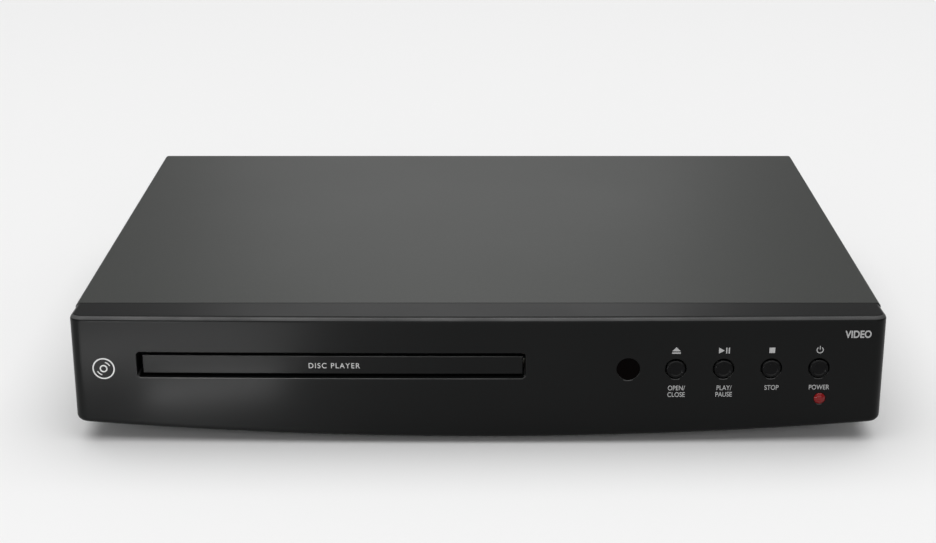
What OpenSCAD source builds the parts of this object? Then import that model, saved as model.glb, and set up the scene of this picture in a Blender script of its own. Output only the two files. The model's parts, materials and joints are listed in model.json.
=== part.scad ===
// Compact mains-powered disc player with a motorised loading tray
// Units are millimetres, +Z is up and the front faces -Y
// The origin is the middle of the footprint, on the surface that the feet stand on

/* [Body] */
// Width over the top cover
body_w = 285; // [285:1:291]
// Height from the table to the top of the cover
body_h = 47.5; // [47.5:0.5:54]
// Length of the top cover, from the front seam to its rear edge
cover_len = 195; // [195:1:201]
// Thickness of the steel sheet of cover, chassis and rear panel
sheet = 0.8; // [0.6:0.1:0.9]
// Height of the four feet
foot_h = 7.5; // [7:0.1:7.5]
// Radius of a foot
foot_r = 10; // [7:0.5:11]

/* [Front moulding] */
// Depth of the front moulding at its two ends
bezel_depth = 13.6; // [13:0.1:15]
// How far the middle of the front stands ahead of its ends
front_bow = 1.7; // [1:0.1:2.5]
// How much lower the bottom edge runs in the middle than at the ends
front_smile = 5.4; // [3:0.1:5.4]
// Height of the bottom edge above the table at the ends
bezel_clear = 7.7; // [7.5:0.1:8.5]
// Wall thickness of the front moulding
bezel_wall = 2.5; // [2:0.1:2.6]
// Radius along the top front edge
edge_r = 2.8; // [2.7:0.1:3.4]
// Gap between the cover and the front moulding
seam_gap = 0.4; // [0.2:0.1:0.6]

/* [Controls] */
// Radius of a button cap
button_r = 3.2; // [2.6:0.1:3.3]
// Clearance round a button in the front
button_gap = 0.5; // [0.3:0.1:0.6]
// Spacing of the four buttons
button_pitch = 16.7; // [14:0.1:17]
// Height of the button row above the table
control_z = 28.4; // [27:0.1:30]
// Radius of the remote control window
ir_r = 4; // [3:0.1:4.5]
// Radius of the power light
led_r = 2; // [1.5:0.1:2.2]

/* [Tray] */
// Width of the disc tray
tray_w = 128; // [128:0.5:128.5]
// Radius of the disc recess
recess_r = 60.5; // [60.3:0.1:61]

/* [Sockets] */
// How far the round sockets stand out at the rear
jack_out = 7.7; // [6:0.1:9]
// Spacing of the round sockets
jack_pitch = 13; // [12:0.5:13]

/* [Hidden] */
$fn = 48;
eps = 0.01;

// frame positions
front_y = -(cover_len + bezel_depth + front_bow + jack_out) / 2;
seam_y = front_y + front_bow + bezel_depth;
rear_y = seam_y + cover_len;
half_w = body_w / 2;

// front moulding
bow_r = (half_w * half_w + front_bow * front_bow) / (2 * front_bow);
bow_facets = 20;
smile_r = (half_w * half_w + front_smile * front_smile) / (2 * front_smile);
corner_r = 4.5;
end_r = 3;
side_taper = 1.1;
bow_end = half_w - side_taper - corner_r;
slot_x0 = -119.3;
slot_x1 = 16.5;
slot_z0 = 25.1;
slot_z1 = 34.4;
slot_corner_r = 1.2;
door_recess = 1.2;
door_gap = 1.5;

// controls
eject_x = 69;
led_x = 120;
led_z = 17;
ir_x = 52.4;
board_front_y = front_y + 9.2;
board_back_y = board_front_y + 1.6;
switch_front_y = board_front_y - 3.4;
plunger_front_y = switch_front_y - 1;
plunger_r = 1.7;

// chassis
floor_z = foot_h;
floor_top = floor_z + sheet;
panel_y = rear_y - 1.7;
board_z = 14.3;
board_top = board_z + 1.6;

// loading mechanism, whose own frame starts at the tray's centre line and the seam
tray_x = -51;
tray_front = -11.3;
tray_rear = 157.2;
tray_side = tray_w / 2;
disc_y = 57.1;
rail_z = 26.4;
tray_under = 27.2;
recess_z = 28.55;
rim_z = 32.8;
window_half = 28;
pressure = 20;
rack_module = 1;
rack_line = tray_side + 1.25 * rack_module;
tray_teeth = 24;
tray_gear_x = rack_line + rack_module * tray_teeth / 2;
tray_gear_y = 11.2;
wheel_module = 0.8;
wheel_teeth = 36;
pinion_teeth = 12;
train_angle = 60;
train_gap = wheel_module * (wheel_teeth + pinion_teeth) / 2;
pulley_x = tray_gear_x + train_gap * cos(train_angle);
pulley_y = tray_gear_y + train_gap * sin(train_angle);
belt_angle = 8;
belt_span = 30;
motor_x = pulley_x + belt_span * cos(belt_angle);
motor_y = pulley_y + belt_span * sin(belt_angle);
pulley_r = 11;
motor_pulley_r = 2.6;
belt_t = 1.1;
belt_z = 32.4;
tray_gear_phase = 180 + 180 / tray_teeth;

// traverse, drawn raised and then tipped about its rear hinge
traverse_drop = 4.3;
hinge_y = 139.2;
hinge_z = 22.75;
plate_z = 21;
plate_top = 24.5;
pin_x = 20;
pin_wall_y = 30.4;
cam_travel = 14;
pin_drop = (hinge_y - pin_wall_y) * sin(traverse_drop);
rod_x = 20;
rod_r = 1.5;
pickup_half = 23;
pickup_y0 = 74;
pickup_y1 = 100;
lens_y = disc_y + 23;
sled_module = 0.5;
sled_line = 28;
sled_teeth = 28;
sled_motor_teeth = 10;
sled_x = sled_line + sled_module * sled_teeth / 2;
sled_y = 96.7;
sled_gap = sled_module * (sled_teeth + sled_motor_teeth) / 2;
sled_angle = 45;
sled_phase = 180 + 180 / sled_teeth;
sled_z = 24.7;

// electronics
main_x0 = 24;
main_x1 = 98;
main_y0 = -25;
power_x0 = 102;
power_x1 = 138;
power_y0 = -48;
board_rear = panel_y - 1;
jack_x = 53;
jack_z = board_top + 9.5;
digital_x = 35;
inlet_x = 121;
inlet_z = 25;

// ---- shared shapes ----

// box given by its limits
module block(x0, x1, y0, y1, z0, z1) {
    translate([x0, y0, z0])
        cube([x1 - x0, y1 - y0, z1 - z0]);
}

// upright round bar between two heights
module post(x, y, r, z0, z1) {
    translate([x, y, z0])
        cylinder(r = r, h = z1 - z0);
}

// round bar along Y between two depths
module bar_y(x, z, r, y0, y1) {
    translate([x, y0, z])
        rotate([-90, 0, 0])
            cylinder(r = r, h = y1 - y0);
}

// round bar along X
module bar_x(y, z, r, x0, x1) {
    translate([x0, y, z])
        rotate([0, 90, 0])
            cylinder(r = r, h = x1 - x0);
}

// the loading mechanism's own frame
module at_loader() {
    translate([tray_x, seam_y, 0])
        children();
}

// the traverse, tipped down about its hinge
module at_traverse() {
    at_loader()
        translate([0, hinge_y, hinge_z])
            rotate([traverse_drop, 0, 0])
                translate([0, -hinge_y, -hinge_z])
                    children();
}

// pan head screw standing along +Z, head upwards, with a crossed slot
module screw(shank_r, shank_h, head_r, head_h) {
    difference() {
        union() {
            translate([0, 0, -shank_h])
                cylinder(r = shank_r, h = shank_h);
            cylinder(r1 = head_r, r2 = head_r * 0.8, h = head_h);
        }
        for (a = [0, 90])
            rotate([0, 0, a])
                translate([-head_r * 0.55, -head_r * 0.12, head_h * 0.45])
                    cube([head_r * 1.1, head_r * 0.24, head_h]);
    }
}

// ---- gears ----

function frac(v) = v - floor(v);

// roll angle of the involute at a pressure angle, in degrees
function roll(a) = tan(a) * 180 / PI - a;

// half the angle of a tooth at radius r
function tooth_half(m, teeth, r, slack) = let (pitch = m * teeth / 2, base = pitch * cos(pressure))
    90 / teeth + roll(pressure) - roll(acos(min(1, base / r))) - slack / pitch * 180 / PI;

function polar(r, a) = [r * cos(a), r * sin(a)];

// spur gear outline, with tooth 0 on +X
module gear_2d(m, teeth, slack) {
    pitch = m * teeth / 2;
    root = pitch - 1.25 * m;
    tip = pitch + m;
    start = max(root, pitch * cos(pressure));
    steps = 5;
    radii = [for (i = [0 : steps]) start + (tip - start) * i / steps];
    half = [for (r = radii) tooth_half(m, teeth, r, slack)];
    circle(r = root, $fn = 96);
    for (i = [0 : teeth - 1])
        rotate([0, 0, i * 360 / teeth])
            polygon(concat(
                [polar(root - 0.3 * m, half[0])],
                [for (k = [0 : steps]) polar(radii[k], half[k])],
                [for (k = [0 : steps]) polar(radii[steps - k], -half[steps - k])],
                [polar(root - 0.3 * m, -half[0])]));
}

// turn of a driven gear that puts its gap over the driver's tooth, at an angle from the driver
function mesh_turn(phase, driver, driven, angle) =
    angle + 180 + frac((angle - phase) * driver / 360) * 360 / driven + 180 / driven;

// rack teeth pointing to +X from the root line at x = 0, with one tooth on y = 0
module rack_2d(m, y0, y1, slack) {
    pitch = PI * m;
    foot = pitch / 4 + 1.25 * m * tan(pressure) - slack;
    top = pitch / 4 - m * tan(pressure) - slack;
    for (i = [ceil((y0 + foot) / pitch) : floor((y1 - foot) / pitch)])
        translate([0, i * pitch])
            polygon([[-0.2, -foot], [0, -foot], [2.25 * m, -top], [2.25 * m, top], [0, foot],
                [-0.2, foot]]);
}

// ---- front moulding ----

// depth of the bowed front at a distance from the middle
function face_y(x) = front_y + bow_r - sqrt(bow_r * bow_r - x * x);

// point on the bowed front, counted from the left end of its straight facets
function bow_point(i) = let (x = bow_end * (2 * i / bow_facets - 1)) [x, face_y(x)];

// cutter that rounds the top front edge, one straight length for each facet
module top_edge_cutter() {
    over = 12;
    steps = 6;
    graze = 0.02;
    for (i = [0 : bow_facets - 1]) {
        a = bow_point(i);
        b = bow_point(i + 1);
        lead = i == 0 ? over : 0.05;
        tail = i == bow_facets - 1 ? over : 0.05;
        translate([a[0], a[1], body_h - edge_r])
            rotate([0, 0, atan2(b[1] - a[1], b[0] - a[0])])
                translate([-lead, 0, 0])
                    rotate([90, 0, 90])
                        linear_extrude(norm(b - a) + lead + tail)
                            polygon(concat(
                                [[-3, -graze]],
                                [for (k = [0 : steps]) let (t = 90 * k / steps)
                                    [edge_r - graze - edge_r * cos(t), graze + edge_r * sin(t)]],
                                [[edge_r, edge_r + 1], [-3, edge_r + 1]]));
    }
}

// outline of the front as seen from ahead
module front_outline(inset) {
    side = half_w - inset;
    low = bezel_clear + inset;
    r = end_r;
    intersection() {
        union() {
            translate([-side, low + r])
                square([2 * side, body_h]);
            translate([-side + r, -5])
                square([2 * (side - r), body_h]);
            for (s = [-1, 1])
                translate([s * (side - r), low + r])
                    circle(r = r);
        }
        union() {
            translate([-half_w, bezel_clear + inset])
                square([body_w, body_h]);
            translate([0, bezel_clear - front_smile + smile_r + inset])
                circle(r = smile_r, $fn = 256);
        }
    }
}

// outline of the front as seen from above
module plan_outline(inset) {
    r = corner_r;
    back = seam_y + eps;
    side = half_w - inset;
    turn_x = side - side_taper - r;
    turn_y = face_y(turn_x) + inset + r;
    polygon(concat(
        [[-side, back], [-side + side_taper, turn_y], [-turn_x, turn_y]],
        [for (i = [0 : bow_facets]) let (x = turn_x * (2 * i / bow_facets - 1)) [x, face_y(x) + inset]],
        [[turn_x, turn_y], [side - side_taper, turn_y], [side, back]]));
    for (s = [-1, 1])
        translate([s * turn_x, turn_y])
            circle(r = r);
}

// the front's outer form with a square top edge, drawn in by an inset
module front_form(inset) {
    intersection() {
        translate([0, seam_y + eps, 0])
            rotate([90, 0, 0])
                linear_extrude(bezel_depth + front_bow + 5)
                    front_outline(inset);
        linear_extrude(body_h - inset)
            plan_outline(inset);
    }
}

// the slot's outline as a bar running front to back
module slot_bar(x0, x1, z0, z1, r, y0, y1) {
    block(x0 + r, x1 - r, y0, y1, z0, z1);
    block(x0, x1, y0, y1, z0 + r, z1 - r);
    for (x = [x0 + r, x1 - r], z = [z0 + r, z1 - r])
        bar_y(x, z, r, y0, y1);
}

module front_bezel() {
    collar = 1.6;
    boss_r = 2.8;
    hook_w = 12;
    button_x = [for (i = [0 : 3]) eject_x + i * button_pitch];
    color([0.05, 0.05, 0.055])
        difference() {
            union() {
                difference() {
                    front_form(0);
                    front_form(bezel_wall);
                    block(-half_w + bezel_wall, half_w - bezel_wall, seam_y - 3, seam_y + 1,
                        bezel_clear + bezel_wall + 2, body_h - bezel_wall);
                }
                intersection() {
                    front_form(bezel_wall / 2);
                    union() {
                        slot_bar(slot_x0 - collar, slot_x1 + collar, slot_z0 - collar, slot_z1 + collar,
                            slot_corner_r + collar, front_y, front_y + 9);
                        for (x = [47, 127], z = [14, 35])
                            bar_y(x, z, boss_r, front_y, board_front_y);
                    }
                }
                for (x = [-110, -40, 40, 110])
                    block(x, x + hook_w, seam_y - 4, seam_y + 5, body_h - bezel_wall - 1.4,
                        body_h - bezel_wall + eps);
            }
            slot_bar(slot_x0, slot_x1, slot_z0, slot_z1, slot_corner_r, front_y - 5, front_y + 12);
            top_edge_cutter();
            for (x = button_x)
                bar_y(x, control_z, button_r + button_gap, front_y - 5, front_y + 12);
            bar_y(ir_x, control_z, ir_r + 0.05, front_y - 5, front_y + 6);
            bar_y(led_x, led_z, led_r + 0.05, front_y - 5, front_y + 6);
            for (x = [47, 127], z = [14, 35])
                bar_y(x, z, 1.1, board_front_y - 4, board_front_y + 1);
        }
}

module tray_door() {
    back = seam_y + tray_front;
    color([0.07, 0.07, 0.075])
        intersection() {
            translate([0, 0, 20])
                linear_extrude(20)
                    polygon(concat(
                        [for (i = [0 : bow_facets]) bow_point(i) + [0, door_recess]],
                        [[bow_end, back + 5], [-bow_end, back + 5]]));
            slot_bar(slot_x0 + door_gap + 0.3, slot_x1 - 0.8, slot_z0 + 1, slot_z1 - door_gap,
                0.6, front_y - 2, back);
        }
}

// ---- controls ----

module button(x) {
    face = face_y(x);
    dome_r = 26;
    color([0.06, 0.06, 0.065])
        union() {
            intersection() {
                bar_y(x, control_z, button_r, face - 1, face + bezel_wall + 0.4);
                translate([x, face - 0.6 + dome_r, control_z])
                    sphere(r = dome_r);
            }
            bar_y(x, control_z, button_r + 1.4, face + bezel_wall + 0.25, plunger_front_y);
        }
}

module plunger(x) {
    color([0.8, 0.8, 0.78])
        bar_y(x, control_z, plunger_r, plunger_front_y, switch_front_y + 0.7);
}

module eject_button() {
    button(eject_x);
}

module play_button() {
    button(eject_x + button_pitch);
}

module stop_button() {
    button(eject_x + 2 * button_pitch);
}

module power_button() {
    button(eject_x + 3 * button_pitch);
}

module eject_plunger() {
    plunger(eject_x);
}

module play_plunger() {
    plunger(eject_x + button_pitch);
}

module stop_plunger() {
    plunger(eject_x + 2 * button_pitch);
}

module power_plunger() {
    plunger(eject_x + 3 * button_pitch);
}

module ir_window() {
    face = face_y(ir_x);
    color([0.12, 0.02, 0.03])
        union() {
            bar_y(ir_x, control_z, ir_r, face + 0.15, face + bezel_wall + 0.1);
            bar_y(ir_x, control_z, ir_r + 1, face + bezel_wall + 0.1, face + bezel_wall + 1);
        }
}

module power_led_lens() {
    face = face_y(led_x);
    cap = 0.9;
    cap_r = (led_r * led_r + cap * cap) / (2 * cap);
    color([0.7, 0.05, 0.04])
        union() {
            intersection() {
                bar_y(led_x, led_z, led_r, face - 2, face + bezel_wall);
                translate([led_x, face - cap + cap_r, led_z])
                    sphere(r = cap_r);
            }
            bar_y(led_x, led_z, led_r, face + 0.2, face + bezel_wall + 0.1);
            bar_y(led_x, led_z, led_r + 0.6, face + bezel_wall + 0.1, face + bezel_wall + 0.9);
        }
}

module front_board() {
    color([0.55, 0.4, 0.2])
        difference() {
            block(43, 131, board_front_y, board_back_y, 10.5, 38.5);
            for (x = [47, 127], z = [14, 35])
                bar_y(x, z, 1.5, board_front_y - 1, board_back_y + 1);
        }
}

module tact_switches() {
    color([0.12, 0.12, 0.12])
        for (i = [0 : 3])
            difference() {
                block(eject_x + i * button_pitch - 3, eject_x + i * button_pitch + 3,
                    switch_front_y, board_front_y, control_z - 3, control_z + 3);
                bar_y(eject_x + i * button_pitch, control_z, plunger_r + 0.08,
                    switch_front_y - 1, switch_front_y + 1.5);
            }
}

module ir_receiver() {
    color([0.1, 0.1, 0.11])
        union() {
            block(ir_x - 3, ir_x + 3, board_front_y - 3.5, board_front_y, control_z - 3.5, control_z + 3.5);
            intersection() {
                translate([ir_x, board_front_y - 3.5, control_z])
                    sphere(r = 1.7);
                block(ir_x - 3, ir_x + 3, board_front_y - 6, board_front_y - 3.5,
                    control_z - 3, control_z + 3);
            }
        }
}

module power_led() {
    color([0.8, 0.1, 0.08])
        union() {
            bar_y(led_x, led_z, 1.5, board_front_y - 3, board_front_y - 1);
            translate([led_x, board_front_y - 3, led_z])
                sphere(r = 1.5);
            bar_y(led_x, led_z, 1.9, board_front_y - 1, board_front_y);
        }
}

// ---- housing ----

module top_cover() {
    cover_front = seam_y + seam_gap;
    fold = 1.6;
    side = half_w - fold;
    color([0.14, 0.145, 0.14])
        difference() {
            union() {
                block(-side, side, cover_front, rear_y, foot_h, body_h);
                block(-half_w, half_w, cover_front, rear_y, foot_h, body_h - fold);
                for (s = [-1, 1])
                    bar_y(s * side, body_h - fold, fold, cover_front, rear_y);
            }
            block(-half_w + sheet, half_w - sheet, cover_front - 1, rear_y - sheet, foot_h - 1,
                body_h - fold);
            block(-side, side, cover_front - 1, rear_y - sheet, foot_h - 1, body_h - sheet);
            for (s = [-1, 1])
                bar_y(s * side, body_h - fold, fold - sheet, cover_front - 1, rear_y - sheet);
            block(-half_w + sheet, half_w - sheet, rear_y - sheet - 1, rear_y + 1, foot_h - 1, body_h - 9);
            for (x = [-120, 0, 120])
                bar_y(x, body_h - 5, 1.7, rear_y - 2, rear_y + 1);
        }
}

module chassis() {
    side = half_w - sheet - 0.2;
    front = seam_y + 1.1;
    lip = 7;
    slots = 9;
    color([0.62, 0.63, 0.64])
        union() {
            difference() {
                block(-side, side, front, rear_y, floor_z, floor_top);
                for (i = [0 : slots - 1], row = [-20, 20])
                    translate([power_x0 + 18 + row / 2, power_y0 + 12 + i * 8, floor_z - 1])
                        translate([-7, 0, 0])
                            cube([14, 3, sheet + 2]);
            }
            block(-side, side, front, front + sheet, floor_top - eps, floor_top + lip - 1.4);
            block(-side, side, rear_y - sheet, rear_y, floor_top - eps, floor_top + lip);
            for (s = [-1, 1])
                block(min(s * side, s * (side - sheet)), max(s * side, s * (side - sheet)),
                    front + sheet - eps, rear_y - sheet + eps, floor_top - eps, floor_top + lip);
            for (p = board_posts)
                difference() {
                    post(p[0], p[1], 3.2, floor_top - eps, board_z);
                    post(p[0], p[1], 1.3, floor_top + 1, board_z + 1);
                }
        }
}

// positions of the posts that carry the two rear boards
board_posts = [[main_x0 + 4, main_y0 + 4], [main_x1 - 4, main_y0 + 4], [main_x0 + 4, 70], [main_x1 - 4, 70],
    [power_x0 + 4, power_y0 + 4], [power_x1 - 4, power_y0 + 4], [power_x0 + 4, 68], [power_x1 - 4, 68]];

module rear_panel() {
    vents = 14;
    panel_side = half_w - 2 * sheet - 0.4;
    color([0.62, 0.63, 0.64])
        difference() {
            block(-panel_side, panel_side, panel_y, panel_y + sheet, floor_top + 0.1, body_h - sheet - 0.1);
            for (i = [0 : 3])
                bar_y(jack_x + i * jack_pitch, jack_z, 4.4, panel_y - 1, panel_y + 2);
            block(digital_x - 7.9, digital_x + 7.9, panel_y - 1, panel_y + 2, board_top - 0.2,
                board_top + 6.4);
            block(inlet_x - 9.2, inlet_x + 9.2, panel_y - 1, panel_y + 2, inlet_z - 5.2, inlet_z + 5.2);
            for (i = [0 : vents - 1])
                block(-120 + i * 7, -117 + i * 7, panel_y - 1, panel_y + 2, 20, 38);
            for (x = [-120, 0, 120])
                bar_y(x, body_h - 5, 1.35, panel_y - 1, panel_y + 2);
        }
}

module foot(x, y) {
    color([0.06, 0.06, 0.06])
        translate([x, y, 0])
            difference() {
                union() {
                    cylinder(r1 = foot_r - 1, r2 = foot_r, h = 1.2);
                    translate([0, 0, 1.2])
                        cylinder(r = foot_r, h = foot_h - 1.2);
                }
                translate([0, 0, 2.5])
                    cylinder(r = foot_r - 2, h = foot_h);
            }
}

foot_x = 114;

module foot_front_left() {
    foot(-foot_x, seam_y + 21);
}

module foot_front_right() {
    foot(foot_x, seam_y + 21);
}

module foot_rear_left() {
    foot(-foot_x, rear_y - 19);
}

module foot_rear_right() {
    foot(foot_x, rear_y - 19);
}

module cover_screws() {
    color([0.08, 0.08, 0.08])
        for (x = [-120, 0, 120])
            translate([x, rear_y, body_h - 5])
                rotate([-90, 0, 0])
                    screw(1.3, 6, 3.2, 1.8);
}

module board_screws() {
    color([0.75, 0.75, 0.74])
        union() {
            for (p = board_posts)
                translate([p[0], p[1], board_top])
                    screw(1.25, 5, 2.8, 1.8);
            for (x = [47, 127], z = [14, 35])
                translate([x, board_back_y, z])
                    rotate([-90, 0, 0])
                        screw(1.05, 4.5, 2.6, 1.6);
        }
}

// ---- loading mechanism ----

// corners by which the loading mechanism stands on the chassis
loader_feet = [[-61, 9], [48, 9], [-61, 149], [63, 149]];

module loader_frame() {
    base_z = 9.8;
    base_top = 11.8;
    ledge = 26.3;
    wall_top = 34.5;
    front = 2.7;
    rear = 155.7;
    wall_front = 28;
    deck_z = 17.8;
    deck_top = 19.8;
    motor_deck = 29.7;
    color([0.13, 0.13, 0.14])
        at_loader()
            difference() {
                union() {
                    difference() {
                        block(-67.5, 70, front, rear, base_z, base_top);
                        block(-36, 53.3, 36, 146, base_z - 1, base_top + 1);
                    }
                    block(-67.5, -65.5, front, rear, base_top - eps, wall_top);
                    block(68, 70, wall_front, rear, base_top - eps, wall_top);
                    block(-67, -60, front, rear, ledge - 1.5, ledge);
                    block(-66, -64.2, front, rear, 28, 30);
                    block(60, 69, wall_front, rear, ledge - 1.5, ledge);
                    block(56, 57.6, front, wall_front + 4, base_top - eps, ledge - 1);
                    block(56, 61.5, front, wall_front + 1, ledge - 1.5, ledge);
                    for (y = [80, 130])
                        block(-67, -60.5, y, y + 10, 33.1, wall_top);
                    for (y = [80, 130])
                        block(60.5, 69, y, y + 10, 33.1, wall_top);
                    block(-46, 46, 26.8, 28.6, base_top - eps, 20);
                    for (x = [-46, 44])
                        block(x, x + 2, 26.8, 34, base_top - eps, 13);
                    for (x = [-40, 53.5])
                        block(x, x + 3.6, hinge_y - 5, hinge_y + 5, base_top - eps, 26);
                    block(57, 131, front, 50, deck_z, deck_top);
                    block(127, 131, front, 50, base_z, deck_z + eps);
                    block(76, 131, 48, 50, base_z, deck_z + eps);
                    block(72, 131, front, front + 2, base_z, deck_z + eps);
                    post(tray_gear_x, tray_gear_y, 3.4, deck_top - eps, 22.2);
                    post(tray_gear_x, tray_gear_y, 1.95, 22, 30.9);
                    post(pulley_x, pulley_y, 3.4, deck_top - eps, 22.2);
                    post(pulley_x, pulley_y, 1.95, 22, 36);
                    for (x = [motor_x - 14, motor_x + 11])
                        block(x, x + 3, motor_y - 5, motor_y + 5, deck_top - eps, motor_deck + 1.5);
                    block(motor_x - 12, motor_x + 12, motor_y - 5, motor_y + 5, motor_deck,
                        motor_deck + 1.5);
                }
                post(motor_x, motor_y, 12.1, base_z - 1, motor_deck);
                post(motor_x, motor_y, 3.2, motor_deck - 1, motor_deck + 3);
                for (p = loader_feet)
                    post(p[0], p[1], 1.7, base_z - 1, base_top + 1);
                bar_x(hinge_y, hinge_z, 1.6, -39.2, 56.4);
            }
}

module loader_grommets() {
    color([0.25, 0.25, 0.26])
        at_loader()
            for (p = loader_feet)
                difference() {
                    post(p[0], p[1], 4.5, floor_top, 9.8);
                    post(p[0], p[1], 1.6, floor_top - 1, 11);
                }
}

module loader_screws() {
    color([0.75, 0.75, 0.74])
        at_loader()
            for (p = loader_feet)
                translate([p[0], p[1], 11.8])
                    screw(1.5, 3.4, 3.4, 1.8);
}

module disc_tray() {
    inner_r = 40.5;
    color([0.1, 0.1, 0.105])
        at_loader()
            union() {
                difference() {
                    block(-tray_side, tray_side, tray_front, tray_rear, rail_z, rim_z);
                    block(-56, 56, tray_front + 1.6, tray_rear + 1, rail_z - 1, tray_under);
                    post(0, disc_y, recess_r, recess_z, rim_z + 1);
                    post(0, disc_y, inner_r, recess_z - 0.6, rim_z + 1);
                    post(0, disc_y, 20, rail_z, rim_z + 1);
                    block(-window_half, window_half, disc_y + 5, tray_rear + 1, rail_z, rim_z + 1);
                    for (s = [-1, 1])
                        block(min(s * 31, s * 56), max(s * 31, s * 56), 124, tray_rear - 2,
                            recess_z, rim_z + 1);
                }
                translate([tray_side, tray_gear_y, 27.2])
                    linear_extrude(3)
                        rack_2d(rack_module, -6, tray_rear - tray_gear_y, 0.12);
            }
}

module tray_gear() {
    color([0.85, 0.84, 0.8])
        at_loader()
            translate([tray_gear_x, tray_gear_y, 0])
                difference() {
                    union() {
                        translate([0, 0, 27.2])
                            linear_extrude(3)
                                rotate([0, 0, tray_gear_phase])
                                    gear_2d(rack_module, tray_teeth, 0.12);
                        translate([0, 0, 24.6])
                            cylinder(r = 6, h = 2.7);
                        translate([0, 0, 22.3])
                            linear_extrude(2.4)
                                gear_2d(wheel_module, wheel_teeth, 0.08);
                    }
                    translate([0, 0, 20])
                        cylinder(r = 2, h = 12);
                }
}

module pulley_gear() {
    groove = 1.6;
    color([0.85, 0.84, 0.8])
        at_loader()
            translate([pulley_x, pulley_y, 0])
                difference() {
                    union() {
                        translate([0, 0, 22.3])
                            linear_extrude(3.2)
                                rotate([0, 0, mesh_turn(0, wheel_teeth, pinion_teeth, train_angle)])
                                    gear_2d(wheel_module, pinion_teeth, 0.08);
                        translate([0, 0, 25.4])
                            cylinder(r = 3.6, h = 6);
                        translate([0, 0, belt_z - 1.4])
                            cylinder(r = pulley_r + 1, h = 1.4);
                        translate([0, 0, belt_z - eps])
                            cylinder(r = pulley_r, h = groove + 2 * eps);
                        translate([0, 0, belt_z + groove])
                            cylinder(r = pulley_r + 1, h = 1.4);
                    }
                    translate([0, 0, 20])
                        cylinder(r = 2, h = 18);
                }
}

module tray_motor() {
    color([0.7, 0.71, 0.72])
        at_loader()
            union() {
                post(motor_x, motor_y, 12, 11, 29.7);
                post(motor_x, motor_y, 3, 29.6, 31);
                post(motor_x, motor_y, 1, 30.9, 36.5);
            }
}

module motor_pulley() {
    groove = 1.6;
    color([0.8, 0.7, 0.4])
        at_loader()
            translate([motor_x, motor_y, 0])
                difference() {
                    union() {
                        translate([0, 0, belt_z - 1.1])
                            cylinder(r = motor_pulley_r + 1, h = 1.1);
                        translate([0, 0, belt_z - eps])
                            cylinder(r = motor_pulley_r, h = groove + 2 * eps);
                        translate([0, 0, belt_z + groove])
                            cylinder(r = motor_pulley_r + 1, h = 1.1);
                    }
                    translate([0, 0, belt_z - 4])
                        cylinder(r = 1.04, h = 12);
                }
}

// loop round two circles, the second on +X
module loop_2d(r0, r1, span) {
    a = acos((r0 - r1) / span);
    circle(r = r0, $fn = 96);
    translate([span, 0])
        circle(r = r1);
    polygon([polar(r0, a), polar(r0, -a), [span, 0] + polar(r1, -a), [span, 0] + polar(r1, a)]);
}

module drive_belt() {
    play = 0.06;
    color([0.06, 0.06, 0.06])
        at_loader()
            translate([pulley_x, pulley_y, belt_z + 0.2])
                rotate([0, 0, belt_angle])
                    linear_extrude(1.2)
                        difference() {
                            loop_2d(pulley_r + play + belt_t, motor_pulley_r + play + belt_t, belt_span);
                            loop_2d(pulley_r + play, motor_pulley_r + play, belt_span);
                        }
}

module cam_slider() {
    wall = 1;
    slope = atan2(pin_drop, cam_travel);
    length = norm([pin_drop, cam_travel]);
    slot_r = 1.82;
    color([0.85, 0.84, 0.8])
        at_loader()
            difference() {
                union() {
                    block(-40, 26, pin_wall_y - wall, pin_wall_y + wall, 12, 26);
                    block(-40, 26, pin_wall_y - wall, pin_wall_y + wall, 12, 13);
                }
                for (x = [-pin_x, pin_x])
                    translate([x, pin_wall_y - wall - 1, hinge_z - pin_drop])
                        rotate([0, slope, 0]) {
                            rotate([-90, 0, 0])
                                cylinder(r = slot_r, h = 2 * wall + 2);
                            translate([-length, 0, 0])
                                rotate([-90, 0, 0])
                                    cylinder(r = slot_r, h = 2 * wall + 2);
                            translate([-length, 0, -slot_r])
                                cube([length, 2 * wall + 2, 2 * slot_r]);
                        }
            }
}

module clamp_bridge() {
    z = 34.5;
    t = 1;
    color([0.66, 0.67, 0.68])
        at_loader()
            difference() {
                union() {
                    block(-67.5, 70, disc_y - 16, disc_y + 16, z, z + t);
                    for (y = [disc_y - 16, disc_y + 15.2])
                        block(-58, 60, y, y + 0.8, z + t - eps, z + 4);
                }
                post(0, disc_y, 12.5, z - 1, z + t + 1);
            }
}

module clamper() {
    color([0.9, 0.9, 0.88])
        at_loader()
            difference() {
                union() {
                    post(0, disc_y, 12, 31.1, 36);
                    post(0, disc_y, 15, 35.8, 37);
                }
                post(0, disc_y, 8.5, 31, 34);
                post(0, disc_y, 6, 36, 38);
            }
}

// ---- traverse with spindle and pickup ----

module traverse_frame() {
    color([0.5, 0.51, 0.53])
        at_traverse()
            difference() {
                union() {
                    block(-34, 50, 32.7, 142, plate_z, plate_top);
                    for (x = [-pin_x, pin_x])
                        bar_y(x, hinge_z, 1.5, 28.9, 33);
                    bar_x(hinge_y, hinge_z, 1.5, -39, -33.9);
                    bar_x(hinge_y, hinge_z, 1.5, 49.9, 56.2);
                    post(sled_x, sled_y, 0.95, plate_top - eps, 26.5);
                }
                block(-25, 25, 72, 137, plate_z - 1, plate_top + 1);
                post(0, disc_y, 3, plate_z - 1, plate_top + 1);
                post(sled_x + sled_gap * cos(sled_angle), sled_y + sled_gap * sin(sled_angle), 1.4,
                    plate_z - 1, plate_top + 1);
                for (x = [-rod_x, rod_x])
                    bar_y(x, hinge_z, rod_r, 70, 138.5);
            }
}

module spindle_motor() {
    color([0.7, 0.71, 0.72])
        at_traverse()
            difference() {
                union() {
                    post(0, disc_y, 11, 15.5, plate_z);
                    post(0, disc_y, 2.6, plate_z - eps, 24);
                }
                post(0, disc_y, 1.05, 16.5, 25);
            }
}

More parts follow.
